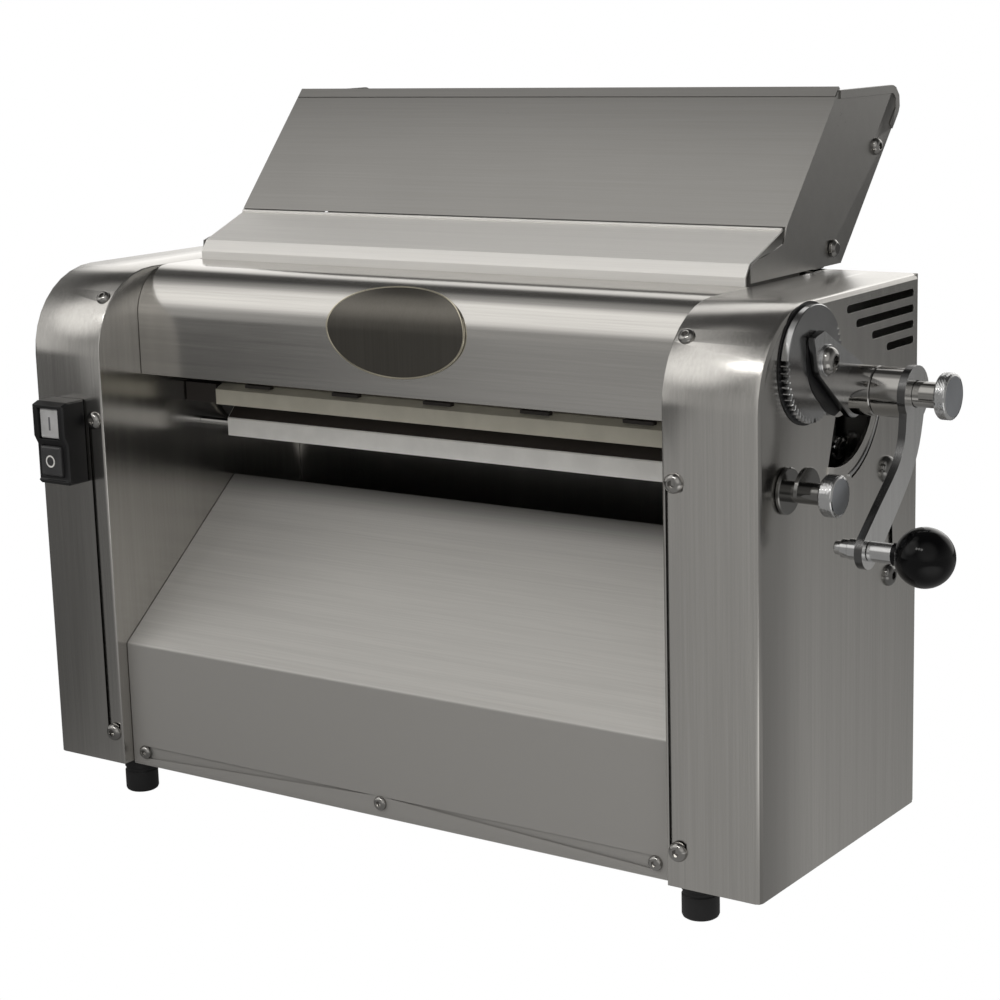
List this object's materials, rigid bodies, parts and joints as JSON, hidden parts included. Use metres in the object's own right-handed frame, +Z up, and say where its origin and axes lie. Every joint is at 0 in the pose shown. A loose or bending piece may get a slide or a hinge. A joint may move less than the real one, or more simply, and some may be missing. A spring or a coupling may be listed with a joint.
{
  "type": "dough sheeter",
  "caption": "Table-top dough sheeter: a steel housing with a geared roller pair, a tilting hopper guard, a sloping chute and a side lever that sets the gap.",
  "frame": {"origin": "middle of the bounding box, on the plane that the feet stand on", "axes": "+X along the rollers towards the lever side, -Y out of the front where the chute is, +Z up"},
  "size_m": [0.6582, 0.3288, 0.4777],
  "materials": {
    "brushed_sheet": "brushed",
    "guard_sheet": "brushed",
    "frame_plate": "machined",
    "gear_steel": "machined",
    "roller_chrome": "polished",
    "polished_steel": "polished",
    "arm_steel": "satin",
    "motor_paint": "semi-gloss",
    "cream_plastic": "satin",
    "grey_plastic": "satin",
    "ball_plastic": "gloss",
    "switch_plastic": "semi-gloss",
    "light_button": "satin",
    "dark_button": "satin",
    "foot_rubber": "matte",
    "badge_metal": "satin"
  },
  "bodies": {
    "housing": {"back_panel": "brushed_sheet", "badge": "badge_metal", "base_tray": "brushed_sheet", "bearing_left": "polished_steel", "bearing_right": "polished_steel", "bracket_left": "brushed_sheet", "bracket_right": "brushed_sheet", "cable_gland": "switch_plastic", "chute_panel": "brushed_sheet", "feed_tray": "brushed_sheet", "foot_back_left": "foot_rubber", "foot_back_right": "foot_rubber", "foot_front_left": "foot_rubber", "foot_front_right": "foot_rubber", "front_cover": "brushed_sheet", "gearbox": "motor_paint", "hinge_screw_left": "polished_steel", "hinge_screw_right": "polished_steel", "idler_pin": "polished_steel", "left_frame": "frame_plate", "left_tower": "brushed_sheet", "link_plate": "polished_steel", "lock_housing": "polished_steel", "lower_scraper": "grey_plastic", "lower_scraper_rod": "polished_steel", "motor": "motor_paint", "right_frame": "frame_plate", "right_tower": "brushed_sheet", "switch_box": "switch_plastic", "throat_lip": "brushed_sheet", "tie_rod_back": "polished_steel", "tie_rod_front": "polished_steel", "upper_scraper": "cream_plastic", "upper_scraper_rod": "polished_steel"},
    "guard": {"guard": "guard_sheet"},
    "carriage": {"block_left": "frame_plate", "block_right": "frame_plate"},
    "upper_roller": {"upper_roller": "roller_chrome", "upper_gear": "gear_steel"},
    "lower_roller": {"lower_roller": "roller_chrome", "lower_gear": "gear_steel"},
    "idler": {"idler_gear": "gear_steel"},
    "pinion": {"drive_pinion": "gear_steel"},
    "cam_shaft": {"cam_shaft": "gear_steel", "toothed_wheel": "gear_steel"},
    "lever": {"lever_shaft": "polished_steel", "lever_arm": "arm_steel", "handle_spindle": "polished_steel"},
    "ball": {"ball_knob": "ball_plastic"},
    "index_knob": {"index_knob": "polished_steel"},
    "lock_knob": {"lock_knob": "polished_steel"},
    "start_button": {"start_button": "light_button"},
    "stop_button": {"stop_button": "dark_button"}
  },
  "joints": [
    {"name": "lower_roller_spin", "type": "hinge", "parent": "housing", "child": "lower_roller", "pos_m": [-0.04915, -0.00258, 0.27589], "axis": [1, 0, 0], "continuous": true},
    {"name": "gap_slide", "type": "slide", "parent": "housing", "child": "carriage", "axis": [0, -0.7431, 0.6691], "range_m": [-0.0002, 0.0043]},
    {"name": "upper_roller_spin", "type": "hinge", "parent": "carriage", "child": "upper_roller", "pos_m": [-0.04915, -0.04768, 0.3165], "axis": [1, 0, 0], "continuous": true},
    {"name": "idler_spin", "type": "hinge", "parent": "housing", "child": "idler", "pos_m": [-0.04915, -0.01664, 0.18092], "axis": [1, 0, 0], "continuous": true},
    {"name": "pinion_spin", "type": "hinge", "parent": "housing", "child": "pinion", "pos_m": [-0.04915, -0.00288, 0.09198], "axis": [1, 0, 0], "continuous": true},
    {"name": "lever_turn", "type": "hinge", "parent": "housing", "child": "lever", "pos_m": [-0.04915, -0.04494, 0.31086], "axis": [1, 0, 0], "range_deg": [-5.01, 110.01]},
    {"name": "cam_turn", "type": "hinge", "parent": "housing", "child": "cam_shaft", "pos_m": [-0.04915, -0.08588, 0.331], "axis": [1, 0, 0], "range_deg": [-44.44, 2.04]},
    {"name": "ball_spin", "type": "hinge", "parent": "lever", "child": "ball", "pos_m": [0.31215, -0.10404, 0.23156], "axis": [1, 0, 0], "continuous": true},
    {"name": "index_pull", "type": "slide", "parent": "lever", "child": "index_knob", "axis": [1, 0, 0], "range_m": [0, 0.006], "stiffness_N_per_m": 400},
    {"name": "lock_pull", "type": "slide", "parent": "housing", "child": "lock_knob", "axis": [1, 0, 0], "range_m": [0, 0.006], "stiffness_N_per_m": 400},
    {"name": "start_press", "type": "slide", "parent": "housing", "child": "start_button", "axis": [0, 1, 0], "range_m": [0, 0.003], "stiffness_N_per_m": 300},
    {"name": "stop_press", "type": "slide", "parent": "housing", "child": "stop_button", "axis": [0, 1, 0], "range_m": [0, 0.003], "stiffness_N_per_m": 300},
    {"name": "guard_lift", "type": "hinge", "parent": "housing", "child": "guard", "pos_m": [-0.04915, 0.06912, 0.378], "axis": [-1, 0, 0], "range_deg": [0, 34]}
  ],
  "couplings": [
    {"joint": "upper_roller_spin", "follows": "lower_roller_spin", "ratio": -1},
    {"joint": "idler_spin", "follows": "lower_roller_spin", "ratio": -0.45454},
    {"joint": "pinion_spin", "follows": "lower_roller_spin", "ratio": 1.25},
    {"joint": "lever_turn", "follows": "gap_slide", "rad_per_m": 446.03},
    {"joint": "cam_turn", "follows": "gap_slide", "rad_per_m": -180.13}
  ]
}
